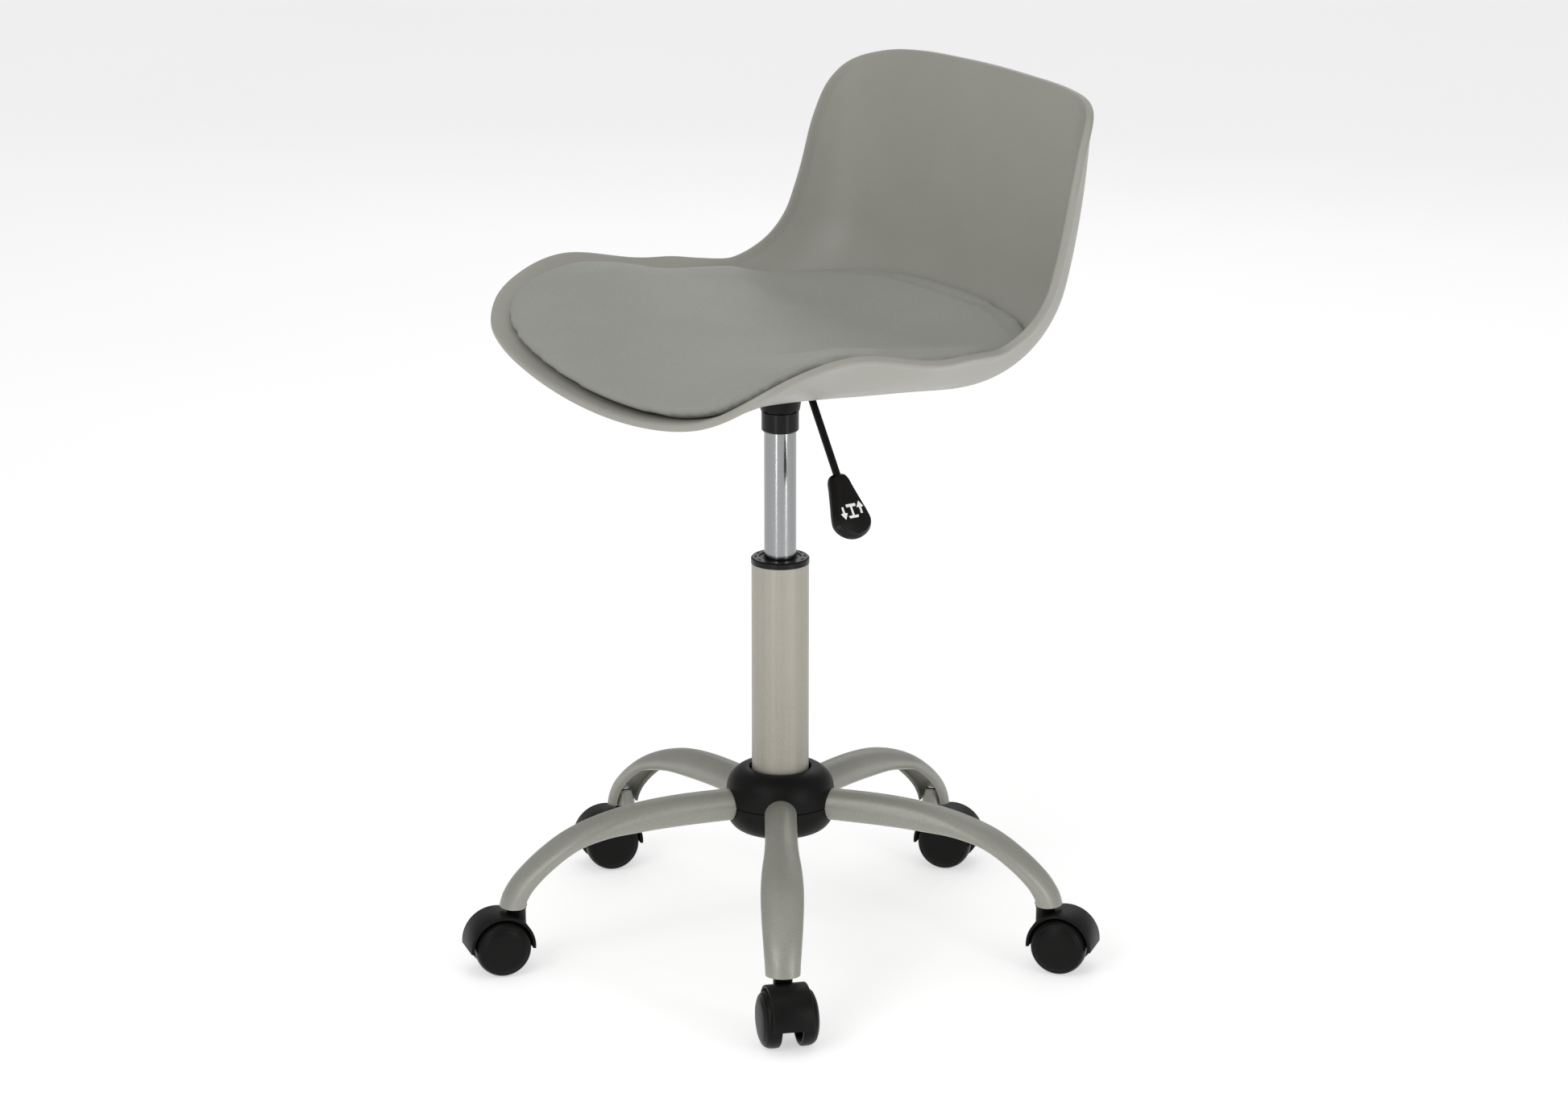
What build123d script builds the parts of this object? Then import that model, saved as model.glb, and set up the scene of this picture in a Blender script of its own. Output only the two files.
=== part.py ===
from build123d import *
from math import cos, radians, sin, sqrt
import os

os.makedirs("parts", exist_ok=True)

# Adjustable swivel stool: a bucket seat shell with a cushion, on a gas lift, on a star base with
# five twin-wheel casters. Millimetres, +Z up, origin on the floor below the column, the sitter
# faces -Y.

# ---- driving dimensions -------------------------------------------------------------------------

# Star base
ARMS = 5
FIRST_ARM = -33.0            # plan direction of the first leg, degrees from +X
STEM_CIRCLE = 242.0          # radius of the circle through the caster stems
LEG_TUBE_R = 14.0
LEG_WALL = 1.6
LEG_END_Z = 58.0             # cut end of every leg, above the floor
LEG_HEIGHT = 129.0           # leg axis where it leaves the hub

# Hub
CORE_R = 30.0
COVER_R = 47.5
COVER_WALL = 2.5
COVER_TOP = 160.0
COVER_SEAM = 113.5
COVER_BOTTOM = 103.0
COLUMN_OPENING_R = 27.0

# Gas lift
COLUMN_R = 25.0
COLUMN_WALL = 2.0
COLUMN_BOTTOM = 99.0
COLUMN_TOP = 346.0
BUSH_TOP = 351.5
PRESSURE_R = 14.0
PRESSURE_WALL = 1.8
PRESSURE_BOTTOM = 236.0
PRESSURE_TOP = 500.0
ROD_R = 5.0
VALVE_PIN_R = 3.0
VALVE_PIN_TOP = 504.3
RUNNING = 0.05               # radial clearance of every sliding or turning fit

# Casters
WHEEL_R = 24.5
WHEEL_INNER = 9.0            # inner face of a wheel, from the caster's middle plane
WHEEL_OUTER = 25.0
WHEEL_EDGE = 5.0
TRAIL = 16.0                 # from the stem axis to the axle
HOOD_R = 29.0
HOOD_WALL = 2.6
HOOD_WIDTH = 35.0
HOOD_DROP = 6.5              # how far the hood reaches below the axle
AXLE_R = 3.0
STEM_R = 5.5
SOCKET_HEIGHT = 12.5         # cone of the socket above the cut end of the leg
CASTER_DIRECTIONS = (-20.5, 38.5, 38.5, -105.5, -105.5)   # plan direction of each trail, degrees

# Seat shell
SHELL_WALL = 5.0
FLOOR_Z = 508.0              # inside of the seat floor
LIP_Y = -182.0               # front edge
LIP_RISE = 2.0
BEND_Y = 76.0                # where the floor starts to turn up into the backrest
BEND_R = 123.0
BEND_ANGLE = radians(74.4)
BACK_CURL = 0.00145          # radians per mm by which the backrest keeps turning upright
# Across the seat, the surface rises by RISE at 200 mm from the middle plane. FLATNESS 0 is a
# plain bowl and FLATNESS 1 is a flat panel with turned-up edges.
STATIONS = (0, 100, 200, 300, 400, 550)
RISE = (42, 60, 47, 57, 63, 64)
FLATNESS = (0.25, 0.0, 0.1, 0.7, 0.97, 1.0)
PAN_DISH = 7.2               # how far the underside climbs at 10 mm outside the raised middle

# Half width of the shell along the middle line, from the front lip to the top of the back
RIM_STATIONS = (0, 80, 130, 170, 210, 240, 270, 340, 450, 582)
RIM_HALF_WIDTH = (209, 228, 231.5, 231, 226, 214, 205, 201, 195, 185)
# Rounded corners of the shell on the +X side: front ones in plan, top ones seen from the front
FRONT_CORNER = ((160, -182.5), (179, -180.5), (206, -165), (216, -148), (223, -130))
TOP_CORNER = ((20, 761.5), (54, 760), (111, 756), (150, 752), (175, 744), (184.5, 725), (192, 698))

# Under the seat
PLATEAU_R = 70.0             # raised middle of the shell that the mechanism hangs from
PLATEAU_Z = 522.0            # its inside face
PLATE_R = 64.0
PLATE_T = 3.0
BOLT_CIRCLE_R = 50.0
BOLTS = 4
LEVER_Z = 508.0
LEVER_ROD_R = 3.25
LEVER_PIVOT_X = 24.0
LEVER_BEND_X = 45.0
LEVER_SLOPE = radians(56.5)

# Cushion
PAD_STATIONS = (18, 60, 110, 190, 255, 318, 386)
PAD_HALF_WIDTH = (190, 194, 196, 196, 187, 168, 146)
PAD_FRONT_CORNER = ((96, -165), (140, -160.5), (166, -152), (184, -137), (196, -112))
PAD_REAR_CORNER = ((30, 183.5), (75, 180.5), (110, 174.5), (130, 168), (150, 155), (165, 136), (184, 104))
PAD_EDGE = 14.0              # thickness round the edge
PAD_CROWN = 22.0             # extra thickness in the middle
BOARD_THICKNESS = 3.0


# ---- helpers ------------------------------------------------------------------------------------

def along(s, values, stations):
    """Smooth value at distance s, from values given at stations (Catmull-Rom)."""
    last = len(stations) - 1
    k = 0
    while k < last - 1 and s > stations[k + 1]:
        k += 1
    low = max(k - 1, 0)
    high = min(k + 2, last)
    span = stations[k + 1] - stations[k]
    t = (s - stations[k]) / span
    slope_a = (values[k + 1] - values[low]) / (stations[k + 1] - stations[low]) * span
    slope_b = (values[high] - values[k]) / (stations[high] - stations[k]) * span
    if s > stations[-1]:
        return values[-1] + slope_b * (t - 1)
    return (
        values[k] * (1 + 2 * t) * (1 - t) ** 2 + slope_a * t * (1 - t) ** 2
        + values[k + 1] * t * t * (3 - 2 * t) + slope_b * t * t * (t - 1)
    )


def save(piece, name):
    """Label a finished piece and write it as a STEP file of the same name."""
    piece.part.label = name
    export_step(piece.part, f"parts/{name}.step")


def turned(outline):
    """Solid of revolution about Z, from a closed outline of (radius, height) points."""
    with BuildPart() as piece:
        with BuildSketch(Plane.XZ):
            with BuildLine():
                Polyline(*outline, close=True)
            make_face()
        revolve(axis=Axis.Z)
    return piece


def tube(outer, inner, bottom, top, edge=0.0):
    """Plain tube, with an optional chamfer round both outer edges."""
    return turned((
        (inner, bottom), (outer - edge, bottom), (outer, bottom + edge),
        (outer, top - edge), (outer - edge, top), (inner, top),
    ) if edge else ((inner, bottom), (outer, bottom), (outer, top), (inner, top)))


def around_base(piece, radius=STEM_CIRCLE):
    """Five copies of a piece, each moved out along its leg."""
    with BuildPart() as group:
        with PolarLocations(radius, ARMS, start_angle=FIRST_ARM):
            add(piece.part)
    return group


# ---- star base ----------------------------------------------------------------------------------

def taper_radius(z):
    """Outer radius of the column's tapered foot, which wedges into the hub core."""
    return 23.9 + 0.9 * (z - COLUMN_BOTTOM) / 56.0


def build_hub():
    core_low = 106.0
    core_high = 152.0
    core = turned((
        (taper_radius(core_low), core_low), (CORE_R, core_low),
        (CORE_R, core_high), (taper_radius(core_high), core_high),
    ))
    save(core, "hub_core")

    # Upper cover: a shell with a rounded shoulder, open below, notched for the legs
    shoulder = 22.0
    with BuildPart() as cover:
        with BuildSketch(Plane.XZ):
            with BuildLine():
                Line((COVER_R, COVER_SEAM), (COVER_R, COVER_TOP - shoulder))
                EllipticalCenterArc(
                    (COVER_R - shoulder + 3, COVER_TOP - shoulder), shoulder - 3, shoulder, arc_size=90,
                )
                Line((COVER_R - shoulder + 3, COVER_TOP), (COLUMN_OPENING_R, COVER_TOP))
                Line((COLUMN_OPENING_R, COVER_TOP), (COLUMN_OPENING_R, COVER_TOP - 7))
                Line((COLUMN_OPENING_R, COVER_TOP - 7), (CORE_R + 0.3, core_high + 0.3))
                Line((CORE_R + 0.3, core_high + 0.3), (COVER_R - COVER_WALL, COVER_SEAM + 26))
                Line((COVER_R - COVER_WALL, COVER_SEAM + 26), (COVER_R - COVER_WALL, COVER_SEAM))
                Line((COVER_R - COVER_WALL, COVER_SEAM), (COVER_R, COVER_SEAM))
            make_face()
        revolve(axis=Axis.Z)
        with PolarLocations(0, ARMS, start_angle=FIRST_ARM):
            with Locations((50, 0, LEG_HEIGHT)):
                Cylinder(LEG_TUBE_R + 0.4, 60, rotation=(0, 90, 0), mode=Mode.SUBTRACT)
            with Locations((50, 0, LEG_HEIGHT - 20)):
                Box(60, 2 * LEG_TUBE_R + 0.8, 40, mode=Mode.SUBTRACT)
    save(cover, "hub_cover_top")

    with BuildPart() as bottom:
        with BuildSketch(Plane.XZ):
            with BuildLine():
                Line((COLUMN_OPENING_R - 1.5, COVER_BOTTOM), (COVER_R - 9, COVER_BOTTOM))
                EllipticalCenterArc(
                    (COVER_R - 9, COVER_SEAM - 0.2), 9, COVER_SEAM - 0.2 - COVER_BOTTOM,
                    start_angle=270, arc_size=90,
                )
                Line((COVER_R, COVER_SEAM - 0.2), (CORE_R + 0.5, COVER_SEAM - 0.2))
                Line((CORE_R + 0.5, COVER_SEAM - 0.2), (CORE_R + 0.5, core_low - 0.3))
                Line((CORE_R + 0.5, core_low - 0.3), (COLUMN_OPENING_R - 1.5, core_low - 0.3))
                Line((COLUMN_OPENING_R - 1.5, core_low - 0.3), (COLUMN_OPENING_R - 1.5, COVER_BOTTOM))
            make_face()
        revolve(axis=Axis.Z)
    save(bottom, "hub_cover_bottom")


# Leg axis in its own vertical plane: radius, height, downward slope in degrees, half width and
# half depth. The round tube is flattened where it bends, then narrows to its end.
LEG_STATIONS = (
    (26, 129.0, 0, 14.0, 14.0), (95, 128.3, 2, 14.0, 14.0), (135, 125.3, 7, 15.0, 12.8),
    (165, 120.3, 14, 17.2, 10.2), (192, 111.0, 28, 18.4, 8.2), (215, 96.0, 42, 17.8, 8.0),
    (233.5, 79.0, 54, 16.3, 9.6), (243.5, 62.5, 66, 15.0, 11.2), (247, 48.0, 74, 14.5, 11.6),
)
LEG_LENGTHS = [0]
for before, after in zip(LEG_STATIONS, LEG_STATIONS[1:]):
    LEG_LENGTHS.append(LEG_LENGTHS[-1] + sqrt((after[0] - before[0]) ** 2 + (after[1] - before[1]) ** 2))


def leg_section(length, wall=0.0, sink=None):
    """Oval section at a length along the leg, thinner by wall and moved by sink into the bend."""
    radius, height, slope, width, depth = (
        along(length, [station[item] for station in LEG_STATIONS], LEG_LENGTHS) for item in range(5)
    )
    outward = Vector(sin(radians(slope)), 0, cos(radians(slope)))
    centre = Vector(radius, 0, height)
    if sink is not None:
        centre -= outward * (2 * depth - sink)
    points = []
    for step in range(13):
        turn = radians(30 * step)
        across = Vector(0, (width - wall) * cos(turn), 0)
        points.append(centre + across + outward * (depth * sin(turn)))
    upper = Spline(*points[:7], tangents=(tuple(outward), tuple(-outward)))
    lower = Spline(*points[6:], tangents=(tuple(-outward), tuple(outward)))
    return Face(Wire([upper, lower]))


def build_legs():
    channel_wall = 2.6
    tube_steps = 18
    channel_steps = 8
    whole = LEG_LENGTHS[-1]
    bend = 4                 # station where the tube starts to open into a channel
    # how far the underside is pressed in, from the bend to the end
    presses = (-1.0, 3.0, 8.0, 9.5, 10.5)
    channel_sections = []
    for i in range(channel_steps + 1):
        length = LEG_LENGTHS[bend] + (whole - LEG_LENGTHS[bend]) * i / channel_steps
        press = along(length, presses, LEG_LENGTHS[bend:])
        channel_sections.append(leg_section(length, channel_wall, press))
    tube_sections = [leg_section(whole * i / tube_steps) for i in range(tube_steps + 1)]
    with BuildPart() as channel:
        loft(channel_sections)
    with BuildPart() as leg:
        loft(tube_sections)
        add(channel.part, mode=Mode.SUBTRACT)
        with Locations((20, 0, LEG_HEIGHT - 0.3)):
            Cylinder(
                LEG_TUBE_R - LEG_WALL, 72, rotation=(0, 90, 0),
                align=(Align.CENTER, Align.CENTER, Align.MIN), mode=Mode.SUBTRACT,
            )
        with Locations((0, 0, LEG_HEIGHT)):
            Cylinder(CORE_R + 0.02, 60, mode=Mode.SUBTRACT)
        with Locations((STEM_CIRCLE, 0, LEG_END_Z)):
            Box(60, 60, 50, align=(Align.CENTER, Align.CENTER, Align.MAX), mode=Mode.SUBTRACT)
            Cone(
                9.55, 6.3, SOCKET_HEIGHT,
                align=(Align.CENTER, Align.CENTER, Align.MIN), mode=Mode.SUBTRACT,
            )
        # pocket for the tip of the stem, closed by the outer face of the leg
        with Locations((STEM_CIRCLE, 0, LEG_END_Z + SOCKET_HEIGHT)):
            Cylinder(5.9, 4.5, align=(Align.CENTER, Align.CENTER, Align.MIN), mode=Mode.SUBTRACT)
        with Locations((STEM_CIRCLE, 0, LEG_END_Z + SOCKET_HEIGHT + 4.5)):
            Cone(5.9, 3.0, 3, align=(Align.CENTER, Align.CENTER, Align.MIN), mode=Mode.SUBTRACT)
    for number in range(ARMS):
        with BuildPart() as placed:
            with Locations(Location((0, 0, 0), (0, 0, FIRST_ARM + 360 / ARMS * number))):
                add(leg.part)
        save(placed, f"leg_{number + 1}")


def build_stems():
    """Socket, stem and snap ring at the end of each leg."""
    top = LEG_END_Z + SOCKET_HEIGHT
    socket = turned((
        (STEM_R + 0.02, LEG_END_Z - 1), (9.2, LEG_END_Z - 1), (9.5, LEG_END_Z),
        (6.25, top), (STEM_R + 0.02, top),
    ))
    save(around_base(socket), "stem_sockets")

    neck = STEM_R - 0.9
    stem = turned((
        (0, 36), (STEM_R, 36), (STEM_R, top + 0.6), (neck, top + 1.0), (neck, top + 2.0),
        (STEM_R, top + 2.4), (STEM_R, top + 3.0), (4.3, top + 5.0), (2.2, top + 6.4), (0, top + 6.8),
    ))
    save(around_base(stem), "caster_stems")

    ring = tube(STEM_R + 0.3, neck + 0.02, top + 1.05, top + 1.95)
    save(around_base(ring), "stem_snap_rings")


# ---- casters ------------------------------------------------------------------------------------

def build_caster_pieces():
    """Hood, axle and the two wheels, with the stem on the Z axis and the trail along +X."""
    with BuildPart() as hood:
        with Locations((TRAIL, 0, WHEEL_R)):
            Cylinder(HOOD_R, HOOD_WIDTH, rotation=(90, 0, 0))
            Cylinder(HOOD_R - HOOD_WALL, HOOD_WIDTH + 2, rotation=(90, 0, 0), mode=Mode.SUBTRACT)
            # middle web and axle boss
            Cylinder(HOOD_R - 1, 2 * (WHEEL_INNER - 2.5), rotation=(90, 0, 0))
        with Locations((0, 0, 28)):
            Cylinder(8.2, LEG_END_Z - 1.5 - 28, align=(Align.CENTER, Align.CENTER, Align.MIN))
        for side in (-1, 1):
            with Locations((TRAIL, side * (WHEEL_INNER - 2.5 + 20), WHEEL_R)):
                Cylinder(HOOD_R - HOOD_WALL, 40, rotation=(90, 0, 0), mode=Mode.SUBTRACT)
        with Locations((TRAIL, 0, WHEEL_R - HOOD_DROP)):
            Box(90, 60, 40, align=(Align.CENTER, Align.CENTER, Align.MAX), mode=Mode.SUBTRACT)
        with Locations((TRAIL, 0, WHEEL_R)):
            Cylinder(6.5, 2 * (WHEEL_INNER - 0.4), rotation=(90, 0, 0))
            Cylinder(AXLE_R + 0.01, 60, rotation=(90, 0, 0), mode=Mode.SUBTRACT)
        with Locations((0, 0, 35.9)):
            Cylinder(
                STEM_R + RUNNING, 40, align=(Align.CENTER, Align.CENTER, Align.MIN), mode=Mode.SUBTRACT,
            )

    axle_half = WHEEL_OUTER - 4
    with BuildPart() as axle:
        with Locations((TRAIL, 0, WHEEL_R)):
            Cylinder(AXLE_R, 2 * axle_half, rotation=(90, 0, 0))
        chamfer(axle.edges().filter_by(GeomType.CIRCLE), 0.5)

    with BuildPart() as wheel:
        with BuildSketch(Plane.XY):
            with BuildLine():
                Line((WHEEL_R, WHEEL_INNER + 2), (WHEEL_R, WHEEL_OUTER - WHEEL_EDGE))
                RadiusArc((WHEEL_R, WHEEL_OUTER - WHEEL_EDGE), (WHEEL_R - WHEEL_EDGE, WHEEL_OUTER), -WHEEL_EDGE)
                Line((WHEEL_R - WHEEL_EDGE, WHEEL_OUTER), (0, WHEEL_OUTER))
                Line((0, WHEEL_OUTER), (0, axle_half + 0.3))
                Line((0, axle_half + 0.3), (AXLE_R + RUNNING, axle_half + 0.3))
                Line((AXLE_R + RUNNING, axle_half + 0.3), (AXLE_R + RUNNING, WHEEL_INNER))
                Line((AXLE_R + RUNNING, WHEEL_INNER), (6.5, WHEEL_INNER))
                Line((6.5, WHEEL_INNER), (7.5, WHEEL_OUTER - 4))
                Line((7.5, WHEEL_OUTER - 4), (WHEEL_R - 6, WHEEL_OUTER - 5))
                Line((WHEEL_R - 6, WHEEL_OUTER - 5), (WHEEL_R - 3, WHEEL_INNER))
                Line((WHEEL_R - 3, WHEEL_INNER), (WHEEL_R - 2, WHEEL_INNER))
                RadiusArc((WHEEL_R - 2, WHEEL_INNER), (WHEEL_R, WHEEL_INNER + 2), -2)
            make_face()
        revolve(axis=Axis.Y)
    return hood, axle, wheel


def build_casters():
    hood, axle, wheel = build_caster_pieces()
    for number, direction in enumerate(CASTER_DIRECTIONS):
        leg_angle = radians(FIRST_ARM + 360 / ARMS * number)
        stem = (STEM_CIRCLE * cos(leg_angle), STEM_CIRCLE * sin(leg_angle), 0)
        place = Location(stem, (0, 0, direction))
        for piece, name in ((hood, "caster_hood"), (axle, "caster_axle")):
            with BuildPart() as placed:
                with Locations(place):
                    add(piece.part)
            save(placed, f"{name}_{number + 1}")
        for side, turn in (("left", 0), ("right", 180)):
            with BuildPart() as placed:
                with Locations(place):
                    with Locations(Location((TRAIL, 0, WHEEL_R), (0, 0, turn))):
                        add(wheel.part)
            save(placed, f"wheel_{number + 1}_{side}")


# ---- gas lift -----------------------------------------------------------------------------------

def build_column():
    inner = COLUMN_R - COLUMN_WALL
    foot_inner = taper_radius(COLUMN_BOTTOM) - COLUMN_WALL
    column = turned((
        (foot_inner, COLUMN_BOTTOM), (taper_radius(COLUMN_BOTTOM) - 0.02, COLUMN_BOTTOM),
        (taper_radius(155) - 0.02, 155), (COLUMN_R, 157.5), (COLUMN_R, COLUMN_TOP),
        (inner, COLUMN_TOP), (inner, 157.5), (foot_inner, 155),
    ))
    save(column, "outer_tube")

    # Guide bush: a sleeve in the column with a flanged top, slotted round the flange
    flange_r = COLUMN_R + 0.4
    with BuildPart() as bush:
        with BuildSketch(Plane.XZ):
            with BuildLine():
                Polyline(
                    (PRESSURE_R + RUNNING, 290), (inner - 0.02, 290), (inner - 0.02, COLUMN_TOP),
                    (flange_r, COLUMN_TOP), (flange_r, BUSH_TOP - 1.2), (flange_r - 1.2, BUSH_TOP),
                    (PRESSURE_R + 4.5, BUSH_TOP), (PRESSURE_R + 4.0, BUSH_TOP - 1.0),
                    (PRESSURE_R + 1.6, BUSH_TOP - 1.0), (PRESSURE_R + RUNNING, BUSH_TOP - 2.0),
                    close=True,
                )
            make_face()
        revolve(axis=Axis.Z)
        with PolarLocations(PRESSURE_R + 7.4, 12):
            with Locations((0, 0, BUSH_TOP)):
                Box(1.6, 4.2, 1.6, mode=Mode.SUBTRACT)
    save(bush, "guide_bush")

    # Foot of the column: plate, bearing washers, and the clip that holds the rod
    plate_z = COLUMN_BOTTOM + 4
    plate = tube(foot_inner - 0.02, ROD_R + 1.0, plate_z, plate_z + 4)
    save(plate, "column_foot_plate")
    lower = tube(12.5, ROD_R + 0.6, plate_z + 4, plate_z + 5.5, edge=0.3)
    save(lower, "bearing_washer_lower")

    with BuildPart() as cage:
        with BuildSketch(Plane.XY.offset(plate_z + 6.6)):
            Circle(11.6)
            Circle(ROD_R + 0.02, mode=Mode.SUBTRACT)
        extrude(amount=1.6)
        with PolarLocations(8.6, 10):
            with Locations((0, 0, plate_z + 7.42)):
                Sphere(1.85)
    save(cage, "ball_cage")
    upper = tube(12.5, ROD_R + 0.02, plate_z + 9.4, plate_z + 10.9, edge=0.3)
    save(upper, "bearing_washer_upper")
    stop = tube(13.5, ROD_R + 0.02, plate_z + 11.0, plate_z + 22.0, edge=1.5)
    save(stop, "bump_stop")

    groove_r = ROD_R - 0.9
    rod_top = PRESSURE_BOTTOM + 26
    rod = turned((
        (0, 96.5), (groove_r, 96.5), (ROD_R, 97.2), (ROD_R, plate_z - 3.0), (groove_r, plate_z - 3.0),
        (groove_r, plate_z - 1.6), (ROD_R, plate_z - 1.6), (ROD_R, rod_top), (0, rod_top),
    ))
    save(rod, "piston_rod")
    with BuildPart() as clip:
        with BuildSketch(Plane.XY.offset(plate_z - 2.9)):
            Circle(9)
            Circle(groove_r + 0.02, mode=Mode.SUBTRACT)
            with Locations((8, 0)):
                Rectangle(14, 5.2, mode=Mode.SUBTRACT)
        extrude(amount=1.2)
    save(clip, "rod_clip")


def build_gas_spring():
    bore = PRESSURE_R - PRESSURE_WALL
    pressure = turned((
        (bore, PRESSURE_BOTTOM), (PRESSURE_R - 1, PRESSURE_BOTTOM), (PRESSURE_R, PRESSURE_BOTTOM + 1),
        (PRESSURE_R, PRESSURE_TOP - 4), (PRESSURE_R - 1.2, PRESSURE_TOP), (bore, PRESSURE_TOP),
    ))
    save(pressure, "pressure_tube")
    guide = turned((
        (ROD_R + RUNNING, PRESSURE_BOTTOM + 1), (bore - 0.02, PRESSURE_BOTTOM + 1),
        (bore - 0.02, PRESSURE_BOTTOM + 13), (ROD_R + 2.2, PRESSURE_BOTTOM + 13),
        (ROD_R + 2.2, PRESSURE_BOTTOM + 9), (ROD_R + RUNNING, PRESSURE_BOTTOM + 9),
    ))
    save(guide, "rod_guide")
    seal = tube(ROD_R + 2.15, ROD_R + RUNNING, PRESSURE_BOTTOM + 9.1, PRESSURE_BOTTOM + 12.9, edge=0.4)
    save(seal, "rod_seal")

    piston_bottom = PRESSURE_BOTTOM + 15
    piston = turned((
        (ROD_R + 0.02, piston_bottom), (bore - 0.6, piston_bottom), (bore - 0.6, piston_bottom + 3),
        (bore - 2.4, piston_bottom + 3), (bore - 2.4, piston_bottom + 6), (bore - 0.6, piston_bottom + 6),
        (bore - 0.6, piston_bottom + 9), (ROD_R + 0.02, piston_bottom + 9),
    ))
    save(piston, "piston")
    ring = tube(bore - RUNNING, bore - 2.35, piston_bottom + 3.1, piston_bottom + 5.9, edge=0.4)
    save(ring, "piston_ring")

    valve = turned((
        (VALVE_PIN_R + RUNNING, PRESSURE_TOP - 26), (8, PRESSURE_TOP - 26), (bore - 0.02, PRESSURE_TOP - 22),
        (bore - 0.02, PRESSURE_TOP - 3), (8, PRESSURE_TOP - 1), (VALVE_PIN_R + RUNNING, PRESSURE_TOP - 1),
    ))
    save(valve, "valve_body")
    pin = turned((
        (0, PRESSURE_TOP - 30), (VALVE_PIN_R - 0.5, PRESSURE_TOP - 30), (VALVE_PIN_R, PRESSURE_TOP - 29),
        (VALVE_PIN_R, VALVE_PIN_TOP - 0.6), (VALVE_PIN_R - 0.8, VALVE_PIN_TOP), (0, VALVE_PIN_TOP),
    ))
    save(pin, "valve_pin")


# ---- seat mechanism -----------------------------------------------------------------------------

SOCKET_TOP = 499.5


def build_mechanism():
    collar = turned((
        (PRESSURE_R + 0.02, 464.3), (15.0, 464.3), (16.2, 465.5), (16.2, 481.5), (15.6, 482.3),
        (PRESSURE_R + 0.02, 482.3),
    ))
    save(collar, "top_collar")

    # Taper socket: a cone that widens to a flange, notched round its lower lip
    with BuildPart() as socket:
        with BuildSketch(Plane.XZ):
            with BuildLine():
                Polyline(
                    (PRESSURE_R + 0.02, 482.6), (16.8, 482.6), (17.2, 484.2), (18.6, 493), (19.8, 495.6),
                    (29.0, 496.6), (29.0, SOCKET_TOP), (PRESSURE_R + 0.02, SOCKET_TOP), close=True,
                )
            make_face()
        revolve(axis=Axis.Z)
        with PolarLocations(17.2, 8, start_angle=12):
            with Locations((0, 0, 483)):
                Box(2.4, 4.0, 2.2, mode=Mode.SUBTRACT)
    save(socket, "taper_socket")

    # Bracket: an inverted channel between the socket's flange and the plate
    plate_bottom = PLATEAU_Z - SHELL_WALL - PLATE_T
    height = plate_bottom - SOCKET_TOP
    with BuildPart() as bracket:
        with BuildSketch(Plane.XY.offset(SOCKET_TOP)):
            RectangleRounded(68, 52, 5)
            RectangleRounded(63, 47, 3, mode=Mode.SUBTRACT)
        extrude(amount=height)
        with BuildSketch(Plane.XY.offset(SOCKET_TOP)):
            RectangleRounded(68, 52, 5)
            Circle(PRESSURE_R + 0.3, mode=Mode.SUBTRACT)
        extrude(amount=2.5)
        # ears that carry the lever's pivot pin
        for side in (-1, 1):
            with Locations((LEVER_PIVOT_X, side * 7.0, SOCKET_TOP)):
                Box(12, 3, height, align=(Align.CENTER, Align.CENTER, Align.MIN))
        with Locations((LEVER_PIVOT_X, 0, LEVER_Z)):
            Cylinder(2.02, 20, rotation=(90, 0, 0), mode=Mode.SUBTRACT)
        # window for the lever
        with Locations((34, 0, SOCKET_TOP + 2.5)):
            Box(8, 9, height, align=(Align.CENTER, Align.CENTER, Align.MIN), mode=Mode.SUBTRACT)
    save(bracket, "mechanism_bracket")

    with BuildPart() as pin:
        with Locations((LEVER_PIVOT_X, 0, LEVER_Z)):
            Cylinder(2.0, 18, rotation=(90, 0, 0))
    save(pin, "pivot_pin")

    with BuildPart() as plate:
        with BuildSketch(Plane.XY.offset(plate_bottom)):
            Circle(PLATE_R)
            with PolarLocations(BOLT_CIRCLE_R, BOLTS, start_angle=45):
                Circle(3.3, mode=Mode.SUBTRACT)
        extrude(amount=PLATE_T)
    save(plate, "seat_plate")

    washer = tube(6.4, 3.25, plate_bottom - 1.5, plate_bottom)
    bolt = turned((
        (0, plate_bottom - 6.0), (4.6, plate_bottom - 6.0), (5.2, plate_bottom - 5.2),
        (5.2, plate_bottom - 1.5), (3.0, plate_bottom - 1.5), (3.0, PLATEAU_Z + 1.0), (0, PLATEAU_Z + 1.0),
    ))
    nut = turned((
        (3.02, PLATEAU_Z - 4.5), (4.0, PLATEAU_Z - 4.5), (4.0, PLATEAU_Z + 0.05), (9.0, PLATEAU_Z + 0.05),
        (9.0, PLATEAU_Z + 1.6), (3.02, PLATEAU_Z + 1.6),
    ))
    for piece, name in ((washer, "bolt_washers"), (bolt, "seat_bolts"), (nut, "tee_nuts")):
        with BuildPart() as group:
            with PolarLocations(BOLT_CIRCLE_R, BOLTS, start_angle=45):
                add(piece.part)
        save(group, name)


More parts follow.
